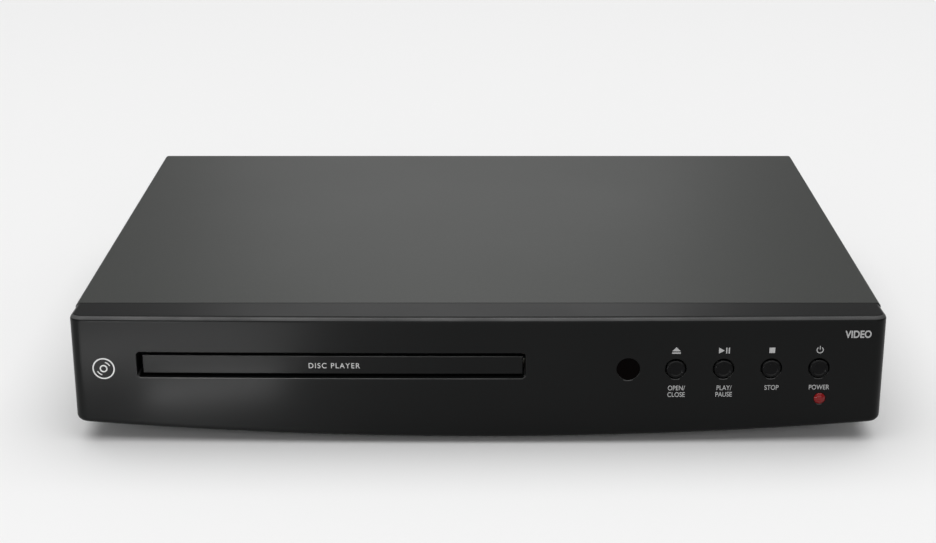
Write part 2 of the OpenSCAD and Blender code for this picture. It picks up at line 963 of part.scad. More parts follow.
module turntable() {
    color([0.16, 0.16, 0.17])
        at_traverse()
            union() {
                post(0, disc_y, 1, 17, 27.7);
                post(0, disc_y, 6, 25.2, 27.7);
                post(0, disc_y, 13, 27.6, 30.4);
                translate([0, disc_y, 30.3])
                    cylinder(r1 = 7.4, r2 = 6.4, h = 2.1);
            }
}

module guide_rods() {
    color([0.8, 0.81, 0.82])
        at_traverse()
            for (x = [-rod_x, rod_x])
                bar_y(x, hinge_z, rod_r, 70, 138.5);
}

module pickup_base() {
    color([0.3, 0.31, 0.33])
        at_traverse()
            difference() {
                union() {
                    block(-pickup_half, pickup_half, pickup_y0, pickup_y1, 18.5, 26);
                    block(-9, 9, pickup_y0, pickup_y0 + 16, 25.9, 26.6);
                    block(20, 27.5, pickup_y0 + 4, pickup_y1 - 2, sled_z + 0.1, 26);
                    block(25.5, sled_line - 1.25 * sled_module + eps, sled_y - 39, sled_y + 3,
                        sled_z + 0.1, 26);
                    translate([sled_line - 1.25 * sled_module, sled_y, sled_z + 0.1])
                        linear_extrude(1.2)
                            rack_2d(sled_module, -39, 3, 0.07);
                }
                for (x = [-rod_x, rod_x])
                    bar_y(x, hinge_z, rod_r + 0.06, pickup_y0 - 1, pickup_y1 + 1);
                post(0, lens_y, 3.6, 22, 28);
            }
}

module lens_holder() {
    color([0.75, 0.8, 0.9])
        at_traverse()
            union() {
                post(0, lens_y, 3.2, 24.5, 27.5);
                intersection() {
                    post(0, lens_y, 2.4, 27, 29);
                    translate([0, lens_y, 23])
                        sphere(r = 5);
                }
            }
}

module sled_motor() {
    x = sled_x + sled_gap * cos(sled_angle);
    y = sled_y + sled_gap * sin(sled_angle);
    color([0.7, 0.71, 0.72])
        at_traverse()
            union() {
                post(x, y, 7, 14, plate_z);
                post(x, y, 0.7, plate_z - eps, 26.4);
            }
}

module sled_motor_gear() {
    x = sled_x + sled_gap * cos(sled_angle);
    y = sled_y + sled_gap * sin(sled_angle);
    color([0.85, 0.84, 0.8])
        at_traverse()
            translate([x, y, sled_z])
                difference() {
                    union() {
                        cylinder(r = 1.6, h = 1.6);
                        linear_extrude(1.4)
                            rotate([0, 0, mesh_turn(sled_phase, sled_teeth, sled_motor_teeth, sled_angle)])
                                gear_2d(sled_module, sled_motor_teeth, 0.06);
                    }
                    translate([0, 0, -1])
                        cylinder(r = 0.74, h = 4);
                }
}

module sled_gear() {
    color([0.85, 0.84, 0.8])
        at_traverse()
            translate([sled_x, sled_y, sled_z])
                difference() {
                    union() {
                        cylinder(r = 3, h = 1.7);
                        linear_extrude(1.4)
                            rotate([0, 0, sled_phase])
                                gear_2d(sled_module, sled_teeth, 0.06);
                    }
                    translate([0, 0, -1])
                        cylinder(r = 1, h = 4);
                }
}

// ---- electronics ----

module main_board() {
    color([0.1, 0.35, 0.18])
        difference() {
            block(main_x0, main_x1, main_y0, board_rear, board_z, board_top);
            for (p = board_posts)
                post(p[0], p[1], 1.5, board_z - 1, board_top + 1);
        }
}

module power_board() {
    color([0.6, 0.45, 0.22])
        difference() {
            block(power_x0, power_x1, power_y0, board_rear - 14, board_z, board_top);
            for (p = board_posts)
                post(p[0], p[1], 1.5, board_z - 1, board_top + 1);
        }
}

module main_board_chips() {
    color([0.08, 0.08, 0.085])
        union() {
            block(50, 72, 16, 38, board_top, board_top + 1.5);
            block(50, 60, -12, 8, board_top, board_top + 1.1);
            block(63, 73, -12, 8, board_top, board_top + 1.1);
            block(34, 40, 30, 40, board_top, board_top + 1.5);
            block(80, 90, 50, 56, board_top, board_top + 1.5);
        }
}

module main_board_parts() {
    color([0.2, 0.22, 0.3])
        union() {
            for (p = [[84, 0], [84, 12], [36, 54], [48, 54], [60, 58], [72, 58]])
                post(p[0], p[1], 3, board_top, board_top + 8);
            block(79.5, 90.8, -22, -16, board_top, board_top + 5);
            block(26.5, 32, 10, 24, board_top, board_top + 4.5);
            block(40, 44, 16, 27, board_top, board_top + 3.6);
            block(88, 96, 22, 40, board_top, board_top + 5.5);
        }
}

module power_transformer() {
    color([0.75, 0.65, 0.2])
        union() {
            block(107, 131, 6, 28, board_top, board_top + 3);
            block(109, 129, 9, 25, board_top + 3 - eps, board_top + 16);
            block(107, 131, 6, 28, board_top + 16 - eps, board_top + 19);
        }
}

module power_capacitors() {
    color([0.12, 0.13, 0.2])
        union() {
            post(119, 46, 8, board_top, board_top + 22);
            for (y = [-34, -22, -10])
                post(112, y, 4.2, board_top, board_top + 14);
            post(127, -34, 5, board_top, board_top + 16);
            block(109.5, 119.5, 60, 66, board_top, board_top + 12);
        }
}

module heat_sink() {
    fins = 5;
    color([0.7, 0.71, 0.72])
        union() {
            block(122, 124, -22, 0, board_top, board_top + 20);
            for (i = [0 : fins - 1])
                block(124 - eps, 132, -22 + i * 5, -20.6 + i * 5, board_top + 2, board_top + 20);
        }
}

// flat cables, from the front board and from the power board to the main board
module ribbon_cables() {
    z = board_top + 2;
    color([0.8, 0.8, 0.78])
        union() {
            block(80.5, 90.5, board_back_y, board_back_y + 5, z - 2.5, z + 3);
            block(81, 90, board_back_y + 5 - eps, -22, z, z + 0.6);
            block(96, 103.5, 28, 34, z, z + 0.8);
            block(103.5 - eps, 106.5, 27, 35, board_top, z + 4);
        }
}

module digital_video_jack() {
    w = 7.5;
    z0 = board_top;
    z1 = board_top + 6;
    out = panel_y + sheet + 0.6;
    color([0.72, 0.73, 0.74])
        difference() {
            block(digital_x - w, digital_x + w, out - 12, out, z0, z1);
            block(digital_x - w + 0.6, digital_x + w - 0.6, out - 9, out + 1, z0 + 2.2, z1 - 0.6);
            block(digital_x - w + 2.2, digital_x + w - 2.2, out - 9, out + 1, z0 + 0.6, z0 + 2.4);
        }
}

module rca_block() {
    color([0.07, 0.07, 0.075])
        difference() {
            block(jack_x - 6.4, jack_x + 3 * jack_pitch + 6.4, panel_y - 13, panel_y,
                board_top, board_top + 16);
            for (i = [0 : 3])
                bar_y(jack_x + i * jack_pitch, jack_z, 4.15, panel_y - 2, panel_y + 1);
        }
}

module rca_sleeves() {
    color([0.78, 0.79, 0.8])
        for (i = [0 : 3])
            difference() {
                bar_y(jack_x + i * jack_pitch, jack_z, 4.15, panel_y - 2, rear_y + jack_out);
                bar_y(jack_x + i * jack_pitch, jack_z, 3.6, panel_y - 3, rear_y + jack_out + 1);
            }
}

module rca_inserts() {
    tints = [[0.9, 0.75, 0.05], [0.9, 0.9, 0.88], [0.75, 0.06, 0.05], [0.9, 0.4, 0.05]];
    for (i = [0 : 3])
        color(tints[i])
            difference() {
                bar_y(jack_x + i * jack_pitch, jack_z, 3.6, panel_y - 2, rear_y + jack_out - 0.4);
                bar_y(jack_x + i * jack_pitch, jack_z, 1.6, panel_y - 1, rear_y + jack_out + 1);
            }
}

module ac_inlet() {
    out = rear_y + 1.5;
    depth = 12;
    lobe = 3.6;
    color([0.07, 0.07, 0.075])
        difference() {
            union() {
                block(inlet_x - 11.5, inlet_x + 11.5, panel_y + sheet, out, inlet_z - 7, inlet_z + 7);
                block(inlet_x - 9, inlet_x + 9, panel_y - 15, panel_y + sheet + eps,
                    inlet_z - 5, inlet_z + 5);
            }
            for (s = [-1, 1])
                bar_y(inlet_x + s * 4.3, inlet_z, lobe + 0.5, out - depth, out + 1);
            block(inlet_x - 4.3, inlet_x + 4.3, out - depth, out + 1, inlet_z - 3.2, inlet_z + 3.2);
            for (s = [-1, 1])
                bar_y(inlet_x + s * 4.3, inlet_z, 1.2, panel_y - 20, out - depth + 1);
        }
}

module ac_pins() {
    out = rear_y + 1.5;
    color([0.8, 0.72, 0.4])
        for (s = [-1, 1])
            bar_y(inlet_x + s * 4.3, inlet_z, 1.2, panel_y - 20, out - 3);
}

top_cover();
chassis();
rear_panel();
front_bezel();
tray_door();
eject_button();
play_button();
stop_button();
power_button();
eject_plunger();
play_plunger();
stop_plunger();
power_plunger();
ir_window();
power_led_lens();
foot_front_left();
foot_front_right();
foot_rear_left();
foot_rear_right();
cover_screws();
board_screws();
loader_screws();
loader_grommets();
front_board();
tact_switches();
ir_receiver();
power_led();
ribbon_cables();
loader_frame();
disc_tray();
tray_motor();
motor_pulley();
drive_belt();
pulley_gear();
tray_gear();
cam_slider();
traverse_frame();
spindle_motor();
turntable();
pickup_base();
lens_holder();
guide_rods();
sled_motor();
sled_motor_gear();
sled_gear();
clamp_bridge();
clamper();
main_board();
main_board_chips();
main_board_parts();
power_board();
power_transformer();
power_capacitors();
heat_sink();
digital_video_jack();
rca_block();
rca_sleeves();
rca_inserts();
ac_inlet();
ac_pins();
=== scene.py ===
# A slim disc player on a pale studio floor: finishes, printed marks, lights and camera.
import json
import math

import bmesh
import bpy
from mathutils import Matrix, Vector


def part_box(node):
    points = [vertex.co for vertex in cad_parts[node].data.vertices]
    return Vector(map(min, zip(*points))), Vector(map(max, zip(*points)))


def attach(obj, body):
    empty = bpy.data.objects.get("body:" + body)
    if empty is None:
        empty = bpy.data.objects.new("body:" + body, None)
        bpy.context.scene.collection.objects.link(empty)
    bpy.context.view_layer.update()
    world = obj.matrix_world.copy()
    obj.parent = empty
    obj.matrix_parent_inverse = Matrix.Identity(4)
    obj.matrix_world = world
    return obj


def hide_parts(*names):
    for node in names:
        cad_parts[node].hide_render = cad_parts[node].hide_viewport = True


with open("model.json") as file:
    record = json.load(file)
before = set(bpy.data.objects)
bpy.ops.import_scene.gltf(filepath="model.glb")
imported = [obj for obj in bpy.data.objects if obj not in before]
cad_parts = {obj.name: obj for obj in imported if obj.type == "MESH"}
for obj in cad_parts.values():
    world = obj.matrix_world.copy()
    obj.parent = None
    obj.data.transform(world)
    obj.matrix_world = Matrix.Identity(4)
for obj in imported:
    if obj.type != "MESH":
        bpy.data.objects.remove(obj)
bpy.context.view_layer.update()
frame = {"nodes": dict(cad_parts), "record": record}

MM = 0.001
nodes = frame["nodes"]

# ---------------------------------------------------------------- measures
BOW_RADIUS = 5973.6 * MM      # plan radius of the bowed front
SEAM_Y = -93.7 * MM
FRONT_Y = -109.0 * MM
PLUNGER_Y = -104.2 * MM       # where the caps' flanges meet their plungers
BUTTON_X = (69.0, 85.7, 102.4, 119.1)
CONTROL_Z = 28.4
ICON_Z = 35.3
LABEL_Z = 21.2
LABEL_DROP = 2.5
LABEL_SHIFT = 0.4
JACK_PITCH = 13.0
JACK_X = tuple(53.0 + i * JACK_PITCH for i in range(4))
PANEL_FACE = 100.4
DOOR_INSET = 1.2              # the door stands this far behind the front


def face_y(x):
    """Depth of the bowed front at a distance from the middle, in metres."""
    return FRONT_Y + BOW_RADIUS - math.sqrt(BOW_RADIUS ** 2 - x ** 2)


# ---------------------------------------------------------------- shader groups
def add_sockets(group, sockets, direction):
    for name, kind, value in sockets:
        socket = group.interface.new_socket(name=name, in_out=direction, socket_type=kind)
        if value is not None:
            socket.default_value = value


def mottle_group():
    """Soft cloudy mask and a fine surface height, both from the piece's own place."""
    group = bpy.data.node_groups.new("surface_mottle", "ShaderNodeTree")
    sizes = [("Cloud size", "NodeSocketFloat", 30.0), ("Grain size", "NodeSocketFloat", 2500.0)]
    add_sockets(group, sizes, "INPUT")
    add_sockets(group, [("Cloud", "NodeSocketFloat", None), ("Grain", "NodeSocketFloat", None)], "OUTPUT")
    n, link = group.nodes, group.links.new
    start = n.new("NodeGroupInput")
    end = n.new("NodeGroupOutput")
    place = n.new("ShaderNodeTexCoord")
    cloud = n.new("ShaderNodeTexNoise")
    cloud.inputs["Detail"].default_value = 4.0
    grain = n.new("ShaderNodeTexNoise")
    grain.inputs["Detail"].default_value = 2.0
    link(place.outputs["Object"], cloud.inputs["Vector"])
    link(place.outputs["Object"], grain.inputs["Vector"])
    link(start.outputs["Cloud size"], cloud.inputs["Scale"])
    link(start.outputs["Grain size"], grain.inputs["Scale"])
    link(cloud.outputs["Fac"], end.inputs["Cloud"])
    link(grain.outputs["Fac"], end.inputs["Grain"])
    return group


def settled_dust_group():
    """Mask of the light dust that settles on faces that look up."""
    group = bpy.data.node_groups.new("settled_dust", "ShaderNodeTree")
    add_sockets(group, [("Amount", "NodeSocketFloat", 0.1)], "INPUT")
    add_sockets(group, [("Dust", "NodeSocketFloat", None)], "OUTPUT")
    n, link = group.nodes, group.links.new
    start = n.new("NodeGroupInput")
    end = n.new("NodeGroupOutput")
    place = n.new("ShaderNodeTexCoord")
    split = n.new("ShaderNodeSeparateXYZ")
    specks = n.new("ShaderNodeTexNoise")
    specks.inputs["Scale"].default_value = 900.0
    specks.inputs["Detail"].default_value = 6.0
    sharpen = n.new("ShaderNodeMapRange")
    sharpen.inputs["From Min"].default_value = 0.55
    sharpen.inputs["From Max"].default_value = 0.8
    upward = n.new("ShaderNodeMath")
    upward.operation = "MULTIPLY"
    amount = n.new("ShaderNodeMath")
    amount.operation = "MULTIPLY"
    amount.use_clamp = True
    link(place.outputs["Object"], specks.inputs["Vector"])
    link(place.outputs["Normal"], split.inputs["Vector"])
    link(specks.outputs["Fac"], sharpen.inputs["Value"])
    link(sharpen.outputs["Result"], upward.inputs[0])
    link(split.outputs["Z"], upward.inputs[1])
    link(upward.outputs["Value"], amount.inputs[0])
    link(start.outputs["Amount"], amount.inputs[1])
    link(amount.outputs["Value"], end.inputs["Dust"])
    return group


def painted_edge_highlight_group():
    """Mask of the thin line of painted highlight along the edges marked on a piece."""
    group = bpy.data.node_groups.new("painted_edge_highlight", "ShaderNodeTree")
    add_sockets(group, [("Amount", "NodeSocketFloat", 0.5)], "INPUT")
    add_sockets(group, [("Painted highlight", "NodeSocketFloat", None)], "OUTPUT")
    n, link = group.nodes, group.links.new
    start = n.new("NodeGroupInput")
    end = n.new("NodeGroupOutput")
    marked = n.new("ShaderNodeAttribute")
    marked.attribute_name = "highlight_paint"
    place = n.new("ShaderNodeTexCoord")
    patchy = n.new("ShaderNodeTexNoise")
    patchy.inputs["Scale"].default_value = 60.0
    patchy.inputs["Detail"].default_value = 5.0
    uneven = n.new("ShaderNodeMapRange")
    uneven.inputs["From Min"].default_value = 0.25
    uneven.inputs["From Max"].default_value = 0.65
    uneven.inputs["To Min"].default_value = 0.55
    both = n.new("ShaderNodeMath")
    both.operation = "MULTIPLY"
    amount = n.new("ShaderNodeMath")
    amount.operation = "MULTIPLY"
    amount.use_clamp = True
    link(place.outputs["Object"], patchy.inputs["Vector"])
    link(patchy.outputs["Fac"], uneven.inputs["Value"])
    link(marked.outputs["Fac"], both.inputs[0])
    link(uneven.outputs["Result"], both.inputs[1])
    link(both.outputs["Value"], amount.inputs[0])
    link(start.outputs["Amount"], amount.inputs[1])
    link(amount.outputs["Value"], end.inputs["Painted highlight"])
    return group


MOTTLE = mottle_group()
DUST = settled_dust_group()
EDGE_HIGHLIGHT_PAINT = painted_edge_highlight_group()


def finish(name, dark, light, rough, cloud=30.0, grain=2500.0, bump=0.1, relief=0.00002, dust=0.0,
           metallic=0.0, coat=0.0, coat_rough=0.1, specular=0.5, stretch=None, highlight_paint=0.0,
           painted_highlight_tint=(0.03, 0.03, 0.03)):
    """A surface whose colour and roughness drift a little and whose grain catches the light."""
    mat = bpy.data.materials.new(name)
    mat.use_nodes = True
    n, link = mat.node_tree.nodes, mat.node_tree.links.new
    shader = n["Principled BSDF"]
    shader.inputs["Metallic"].default_value = metallic
    shader.inputs["Specular IOR Level"].default_value = specular
    shader.inputs["Coat Weight"].default_value = coat
    shader.inputs["Coat Roughness"].default_value = coat_rough
    mottle = n.new("ShaderNodeGroup")
    mottle.node_tree = MOTTLE
    mottle.inputs["Cloud size"].default_value = cloud
    mottle.inputs["Grain size"].default_value = grain
    colour = n.new("ShaderNodeMix")
    colour.data_type = "RGBA"
    colour.inputs[6].default_value = (*dark, 1.0)
    colour.inputs[7].default_value = (*light, 1.0)
    link(mottle.outputs["Cloud"], colour.inputs[0])
    roughness = n.new("ShaderNodeMapRange")
    roughness.inputs["From Min"].default_value = 0.3
    roughness.inputs["From Max"].default_value = 0.7
    roughness.inputs["To Min"].default_value = rough[0]
    roughness.inputs["To Max"].default_value = rough[1]
    link(mottle.outputs["Cloud"], roughness.inputs["Value"])
    link(roughness.outputs["Result"], shader.inputs["Roughness"])
    height = mottle.outputs["Grain"]
    if stretch:
        place = n.new("ShaderNodeTexCoord")
        turn = n.new("ShaderNodeMapping")
        turn.inputs["Scale"].default_value = stretch
        lines = n.new("ShaderNodeTexNoise")
        lines.inputs["Scale"].default_value = grain
        lines.inputs["Detail"].default_value = 3.0
        link(place.outputs["Object"], turn.inputs["Vector"])
        link(turn.outputs["Vector"], lines.inputs["Vector"])
        height = lines.outputs["Fac"]
    ridge = n.new("ShaderNodeBump")
    ridge.inputs["Strength"].default_value = bump
    ridge.inputs["Distance"].default_value = relief
    link(height, ridge.inputs["Height"])
    link(ridge.outputs["Normal"], shader.inputs["Normal"])
    base = colour.outputs[2]
    # Paint a lighter colour on the marked edges that look up, as a painted highlight.
    if highlight_paint:
        highlight_mask = n.new("ShaderNodeGroup")
        highlight_mask.node_tree = EDGE_HIGHLIGHT_PAINT
        highlight_mask.inputs["Amount"].default_value = highlight_paint
        painted_highlight_mix = n.new("ShaderNodeMix")
        painted_highlight_mix.data_type = "RGBA"
        painted_highlight_mix.inputs[7].default_value = (*painted_highlight_tint, 1.0)
        link(highlight_mask.outputs["Painted highlight"], painted_highlight_mix.inputs[0])
        link(base, painted_highlight_mix.inputs[6])
        base = painted_highlight_mix.outputs[2]
    if dust:
        settled = n.new("ShaderNodeGroup")
        settled.node_tree = DUST
        settled.inputs["Amount"].default_value = dust
        dusty = n.new("ShaderNodeMix")
        dusty.data_type = "RGBA"
        dusty.inputs[7].default_value = (0.35, 0.34, 0.32, 1.0)
        link(settled.outputs["Dust"], dusty.inputs[0])
        link(base, dusty.inputs[6])
        base = dusty.outputs[2]
    link(base, shader.inputs["Base Color"])
    return mat


# ---------------------------------------------------------------- finishes
def make_finishes():
    return {
        "cover_paint": finish(
            "cover_satin_paint", (0.018, 0.0195, 0.0178), (0.0212, 0.0228, 0.0208), (0.4, 0.43),
            cloud=9, grain=1500, bump=0.15, relief=0.00003, dust=0.03, specular=0.3),
        "zinc_steel": finish(
            "zinc_sheet", (0.42, 0.43, 0.44), (0.56, 0.57, 0.58), (0.3, 0.42), cloud=60, grain=500,
            bump=0.12, metallic=1.0, stretch=(0.06, 1.0, 1.0)),
        # The front's rounded edges that look up get a painted highlight, a lighter grey mixed into the
        # colour.
        "front_plastic": finish(
            "front_satin_black", (0.0034, 0.0036, 0.0036), (0.0045, 0.0047, 0.0047), (0.3, 0.34),
            cloud=25, grain=3000, bump=0.06, specular=0.1, highlight_paint=0.9, painted_highlight_tint=(0.065, 0.065, 0.065)),
        # The caps' edges that look up get a fainter painted highlight.
        "button_plastic": finish(
            "button_black", (0.0022, 0.0022, 0.0024), (0.003, 0.003, 0.0033), (0.26, 0.3), cloud=200,
            grain=4000, bump=0.05, specular=0.08, highlight_paint=0.5),
        "white_plastic": finish(
            "natural_nylon", (0.62, 0.6, 0.55), (0.74, 0.72, 0.68), (0.4, 0.5), cloud=90, grain=3500,
            bump=0.08),
        "dark_window": finish(
            "infrared_window", (0.0005, 0.0002, 0.0002), (0.0009, 0.0003, 0.0003), (0.1, 0.14),
            cloud=200, grain=4000, bump=0.02, specular=0.02),
        "red_lens": finish(
            "red_light_lens", (0.13, 0.0015, 0.002), (0.17, 0.002, 0.003), (0.08, 0.12), cloud=300,
            grain=4000, bump=0.02, specular=0.3),
        "foot_rubber": finish(
            "foot_rubber", (0.012, 0.012, 0.012), (0.022, 0.022, 0.021), (0.62, 0.75), cloud=120,
            grain=3000, bump=0.25),
        "black_screw": finish(
            "blackened_screw", (0.02, 0.02, 0.021), (0.035, 0.035, 0.036), (0.3, 0.45), cloud=400,
            grain=5000, bump=0.1, metallic=0.6),
        "bright_metal": finish(
            "nickel_plate", (0.6, 0.6, 0.61), (0.72, 0.72, 0.73), (0.16, 0.26), cloud=150, grain=3000,
            bump=0.05, metallic=1.0),
        "brown_board": finish(
            "phenolic_board", (0.24, 0.13, 0.045), (0.33, 0.19, 0.07), (0.45, 0.6), cloud=70,
            grain=1800, bump=0.15),
        "green_board": finish(
            "green_solder_mask", (0.012, 0.09, 0.035), (0.02, 0.13, 0.05), (0.28, 0.4), cloud=80,
            grain=1200, bump=0.15, coat=0.3),
        "dark_plastic": finish(
            "loader_grey_plastic", (0.018, 0.018, 0.019), (0.03, 0.03, 0.031), (0.42, 0.55), cloud=60,
            grain=2600, bump=0.2),
        "tray_plastic": finish(
            "tray_grained_plastic", (0.014, 0.014, 0.015), (0.021, 0.021, 0.022), (0.4, 0.5), cloud=50,
            grain=2200, bump=0.3),
        "brass": finish(
            "brass", (0.6, 0.42, 0.16), (0.72, 0.53, 0.22), (0.22, 0.32), cloud=200, grain=3000,
            bump=0.06, metallic=1.0),
        "cast_frame": finish(
            "cast_alloy", (0.22, 0.225, 0.235), (0.32, 0.325, 0.34), (0.42, 0.58), cloud=90,
            grain=1400, bump=0.35, metallic=0.8),
        "lens_glass": finish(
            "coated_lens", (0.2, 0.28, 0.5), (0.26, 0.34, 0.58), (0.04, 0.07), cloud=500, grain=5000,
            bump=0.01, coat=0.6, coat_rough=0.02),
        "yellow_tape": finish(
            "winding_tape", (0.6, 0.42, 0.05), (0.7, 0.52, 0.08), (0.25, 0.4), cloud=130, grain=700,
            bump=0.3, stretch=(0.1, 0.1, 1.0)),
        "aluminium": finish(
            "extruded_aluminium", (0.6, 0.6, 0.62), (0.7, 0.7, 0.72), (0.3, 0.42), cloud=70, grain=900,
            bump=0.2, metallic=1.0, stretch=(1.0, 1.0, 0.05)),
        "jack_colours": finish(
            "socket_white", (0.72, 0.72, 0.7), (0.8, 0.8, 0.78), (0.25, 0.35), cloud=200, grain=4000,
            bump=0.05),
    }


def socket_colours(mat):
    """Give each phono socket its usual colour by its place along the panel."""
    n, link = mat.node_tree.nodes, mat.node_tree.links.new
    shader = n["Principled BSDF"]
    place = n.new("ShaderNodeTexCoord")
    split = n.new("ShaderNodeSeparateXYZ")
    along = n.new("ShaderNodeMapRange")
    along.inputs["From Min"].default_value = (JACK_X[0] - JACK_PITCH / 2) * MM
    along.inputs["From Max"].default_value = (JACK_X[3] + JACK_PITCH / 2) * MM
    ramp = n.new("ShaderNodeValToRGB")
    ramp.color_ramp.interpolation = "CONSTANT"
    stops = ramp.color_ramp.elements
    for i, tint in enumerate(((0.72, 0.5, 0.02), (0.72, 0.72, 0.7), (0.55, 0.02, 0.02), (0.7, 0.2, 0.02))):
        stop = stops[i] if i < 2 else stops.new(i / 4)
        stop.position = i / 4
        stop.color = (*tint, 1.0)
    soil = n.new("ShaderNodeMix")
    soil.data_type = "RGBA"
    soil.blend_type = "MULTIPLY"
    soil.inputs[0].default_value = 0.3
    link(place.outputs["Object"], split.inputs["Vector"])
    link(split.outputs["X"], along.inputs["Value"])
    link(along.outputs["Result"], ramp.inputs["Fac"])
    link(ramp.outputs["Color"], soil.inputs[6])
    link(shader.inputs["Base Color"].links[0].from_socket, soil.inputs[7])
    link(soil.outputs[2], shader.inputs["Base Color"])


FINISH = make_finishes()
socket_colours(FINISH["jack_colours"])
DARK_PRINT = finish("dark_print", (0.015, 0.015, 0.015), (0.025, 0.025, 0.025), (0.45, 0.6), cloud=500,
                    grain=5000, bump=0.05)
PRINT = finish("grey_print", (0.3, 0.3, 0.3), (0.36, 0.36, 0.36), (0.4, 0.5), cloud=500,
               grain=5000, bump=0.05)


def dress_cad_nodes():
    """Give every kept piece the finish of its slot."""
    slots = {s["node"]: s["material_slot"] for s in frame["record"]["subparts"]}
    for name, piece in nodes.items():
        mat = FINISH[slots[name]]
        if not piece.data.materials:
            piece.data.materials.append(mat)
        for i in range(len(piece.data.materials)):
            piece.data.materials[i] = mat


SHARP_ANGLE = math.radians(34)


def smooth_by_angle_group():
    """Smooth shading with a crease wherever two faces meet at more than the sharp angle."""
    group = bpy.data.node_groups.new("smooth_by_crease", "GeometryNodeTree")
    group.interface.new_socket(name="Geometry", in_out="INPUT", socket_type="NodeSocketGeometry")
    group.interface.new_socket(name="Geometry", in_out="OUTPUT", socket_type="NodeSocketGeometry")
    n, link = group.nodes, group.links.new
    start = n.new("NodeGroupInput")
    end = n.new("NodeGroupOutput")
    faces = n.new("GeometryNodeSetShadeSmooth")
    faces.domain = "FACE"
    edges = n.new("GeometryNodeSetShadeSmooth")
    edges.domain = "EDGE"
    angle = n.new("GeometryNodeInputMeshEdgeAngle")
    crease = n.new("FunctionNodeCompare")
    crease.data_type = "FLOAT"
    crease.operation = "LESS_EQUAL"
    crease.inputs[1].default_value = SHARP_ANGLE
    link(start.outputs[0], faces.inputs["Geometry"])
    link(faces.outputs["Geometry"], edges.inputs["Geometry"])
    link(angle.outputs["Unsigned Angle"], crease.inputs[0])
    link(crease.outputs["Result"], edges.inputs["Shade Smooth"])
    link(edges.outputs["Geometry"], end.inputs[0])
    return group


CREASE = smooth_by_angle_group()


def smoothed(piece):
    """Weld a kept mesh's loose triangles and let its round faces shade as round."""
    weld = piece.modifiers.new("weld", "WELD")
    weld.merge_threshold = 0.000002
    crease = piece.modifiers.new("crease", "NODES")
    crease.node_group = CREASE
    even = piece.modifiers.new("even_normals", "WEIGHTED_NORMAL")
    even.keep_sharp = True


dress_cad_nodes()
for kept in nodes.values():
    smoothed(kept)


# ---------------------------------------------------------------- modelling helpers
def nothing_selected():
    bpy.ops.object.select_all(action="DESELECT")


def only(piece):
    """Make a piece the one that the next operator acts on."""
    nothing_selected()
    piece.select_set(True)
    bpy.context.view_layer.objects.active = piece


def settle(piece):
    """Bring a piece's place into its mesh."""
    only(piece)
    bpy.ops.object.transform_apply(location=True, rotation=True, scale=True)


def pick(piece, edges=None, faces=None):
    """Enter edit mode with just the edges or faces that the test accepts selected."""
    only(piece)
    bpy.ops.object.mode_set(mode="EDIT")
    bpy.ops.mesh.select_mode(type="EDGE" if edges else "FACE")
    bpy.ops.mesh.select_all(action="DESELECT")
    bpy.ops.object.mode_set(mode="OBJECT")
    mesh = bmesh.new()
    mesh.from_mesh(piece.data)
    mesh.normal_update()
    for item in (mesh.edges if edges else mesh.faces):
        item.select = bool(edges(item) if edges else faces(item))
    mesh.select_flush_mode()
    mesh.to_mesh(piece.data)
    mesh.free()
    bpy.ops.object.mode_set(mode="EDIT")


def done():
    """Leave edit mode."""
    bpy.ops.object.mode_set(mode="OBJECT")


def apply_modifier(piece, kind, **settings):
    only(piece)
    modifier = piece.modifiers.new(kind.lower(), kind)
    for name, value in settings.items():
        setattr(modifier, name, value)
    bpy.ops.object.modifier_apply(modifier=modifier.name)


def block(x0, x1, y0, y1, z0, z1):
    """A block between six planes given in millimetres."""
    nothing_selected()
    middle = ((x0 + x1) / 2 * MM, (y0 + y1) / 2 * MM, (z0 + z1) / 2 * MM)
    bpy.ops.mesh.primitive_cube_add(size=1, location=middle)
    piece = bpy.context.object
    piece.scale = ((x1 - x0) * MM, (y1 - y0) * MM, (z1 - z0) * MM)
    settle(piece)
    return piece


def rod_y(x, z, radius, y0, y1, sides=48):
    """A rod that runs front to back, in millimetres."""
    nothing_selected()
    bpy.ops.mesh.primitive_cylinder_add(vertices=sides, radius=radius * MM, depth=(y1 - y0) * MM)
    piece = bpy.context.object
    piece.rotation_euler = (math.radians(90), 0, 0)
    piece.location = (x * MM, (y0 + y1) / 2 * MM, z * MM)
    settle(piece)
    return piece


def combine(piece, tools, operation):
    """Add the tools to a piece or cut them out of it, and take them away."""
    for tool in tools:
        apply_modifier(piece, "BOOLEAN", operation=operation, object=tool, solver="EXACT")
        bpy.data.objects.remove(tool, do_unlink=True)


def mark_painted_highlight(piece):
    """Mark the rounded edges that look up, where a lighter colour is painted on as their highlight."""
    highlight_paint = piece.data.attributes.new("highlight_paint", "FLOAT", "FACE")
    for face in piece.data.polygons:
        highlight_paint.data[face.index].value = 1.0 if 0.35 < face.normal.z < 0.86 else 0.0


def rounded(piece, angle=34):
    """Shade round faces as round, keeping the creases, and mark the edges that look up for the painted
    highlight.
    """
    mark_painted_highlight(piece)
    only(piece)
    bpy.ops.object.shade_smooth_by_angle(angle=math.radians(angle))
    apply_modifier(piece, "WEIGHTED_NORMAL", keep_sharp=True)


